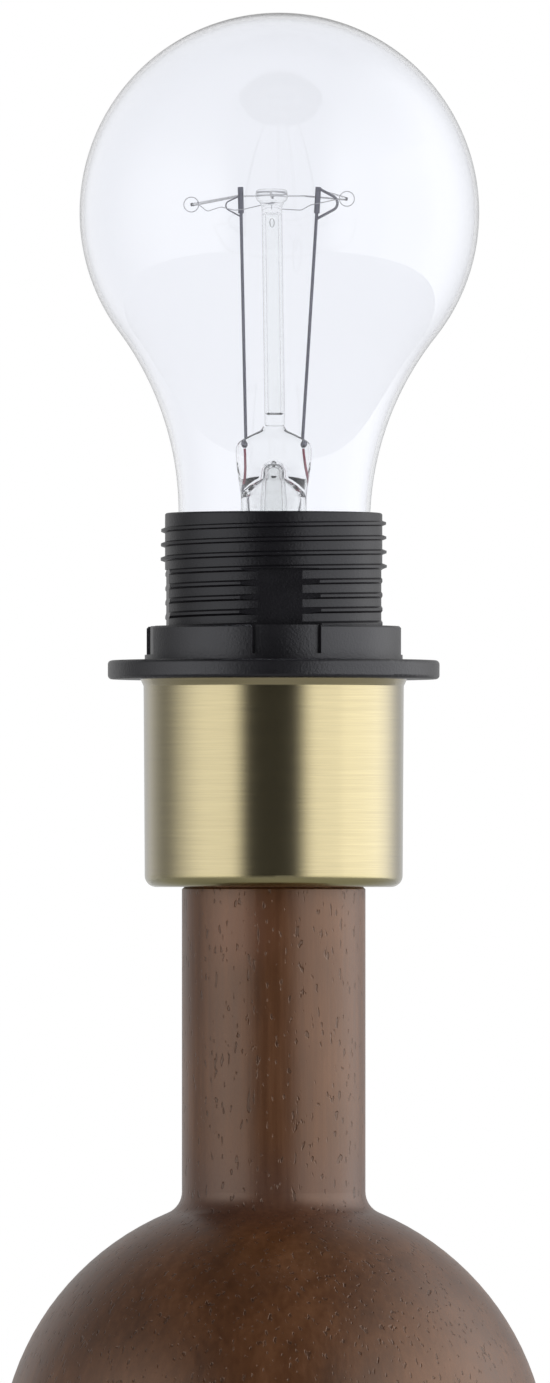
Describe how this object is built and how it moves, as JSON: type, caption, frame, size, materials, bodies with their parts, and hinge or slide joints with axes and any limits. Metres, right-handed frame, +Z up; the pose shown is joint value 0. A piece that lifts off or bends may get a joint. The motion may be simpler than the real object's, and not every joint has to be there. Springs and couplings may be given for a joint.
{
  "type": "table lamp",
  "caption": "Bare bulb table lamp: turned wood bottle base, brass cup, black threaded lampholder with shade ring, clear incandescent bulb.",
  "frame": {"origin": "middle of the felt pad's underside, on the surface that the lamp stands on", "axes": "+Z up along the turned base, -Y towards the viewer of the picture, +Y to the cord hole, +X to the viewer's right"},
  "size_m": [0.0962, 0.0962, 0.2947],
  "materials": {
    "turned_wood": "dark walnut stain under matt lacquer, grain along the neck",
    "felt": "black felt",
    "zinc_steel": "zinc plated, dull",
    "antique_brass": "brushed round the axis and aged",
    "black_plastic": "moulded, satin",
    "contact_brass": "bare stamped brass",
    "spring_steel": "bare wire",
    "cap_metal": "bright rolled sheet",
    "solder": "dull solder",
    "black_glass": "black vitrite, opaque",
    "clear_glass": "clear blown glass, faintly violet",
    "lead_glass": "clear drawn tube, faintly grey",
    "nickel_wire": "oxidised nickel",
    "copper_wire": "copper clad, red under glass",
    "molybdenum": "thin drawn wire",
    "tungsten": "coiled wire, dark"
  },
  "bodies": {
    "base": {"wood_body": "turned_wood", "felt_pad": "felt", "base_plate": "zinc_steel", "plate_screws": "zinc_steel", "cord_bushing": "black_plastic", "threaded_tube": "zinc_steel", "lower_nut": "zinc_steel", "lower_washer": "zinc_steel", "cup_washer": "zinc_steel", "cup_nut": "zinc_steel", "brass_cup": "antique_brass", "holder_cap": "black_plastic", "grub_screw": "zinc_steel", "threaded_skirt": "black_plastic", "holder_insert": "black_plastic", "screw_shell": "contact_brass", "contact_spring": "spring_steel", "centre_terminal_strip": "contact_brass", "side_contact": "contact_brass", "contact_rivet": "contact_brass", "terminals": "contact_brass", "terminal_screws": "zinc_steel"},
    "plunger": {"contact_plunger": "contact_brass"},
    "bulb_contact": {"bulb_tip": "solder"},
    "bulb": {"bulb_cap": "cap_metal", "cap_insulator": "black_glass", "bulb_glass": "clear_glass", "stem": "lead_glass", "exhaust_tube": "lead_glass", "glass_rod": "lead_glass", "lead_wire_left": "nickel_wire", "lead_wire_right": "nickel_wire", "lead_crimps": "nickel_wire", "dumet_wires": "copper_wire", "lower_leads": "nickel_wire", "support_wires": "molybdenum", "filament": "tungsten"},
    "flange": {"shade_flange": "black_plastic"},
    "ring": {"shade_ring_nut": "black_plastic"}
  },
  "joints": [
    {"name": "bulb_lift", "type": "slide", "parent": "base", "child": "bulb_contact", "axis": [0, 0, 1], "range_m": [0, 0.03358]},
    {"name": "bulb_turn", "type": "hinge", "parent": "bulb_contact", "child": "bulb", "pos_m": [0, 0, 0.1755], "axis": [0, 0, 1], "range_deg": [0, 3330]},
    {"name": "ring_lift", "type": "slide", "parent": "base", "child": "flange", "axis": [0, 0, 1], "range_m": [0, 0.02688]},
    {"name": "ring_turn", "type": "hinge", "parent": "flange", "child": "ring", "pos_m": [0, 0, 0.1816], "axis": [0, 0, 1], "range_deg": [0, 3870]},
    {"name": "plunger_press", "type": "slide", "parent": "base", "child": "plunger", "axis": [0, 0, 1], "range_m": [-0.0015, 0], "stiffness_N_per_m": 300, "springref_m": 0.003, "deforming": ["contact_spring"]}
  ],
  "couplings": [
    {"joint": "bulb_lift", "follows": "bulb_turn", "m_per_rad": 0.00057757},
    {"joint": "ring_lift", "follows": "ring_turn", "m_per_rad": 0.00039789}
  ]
}
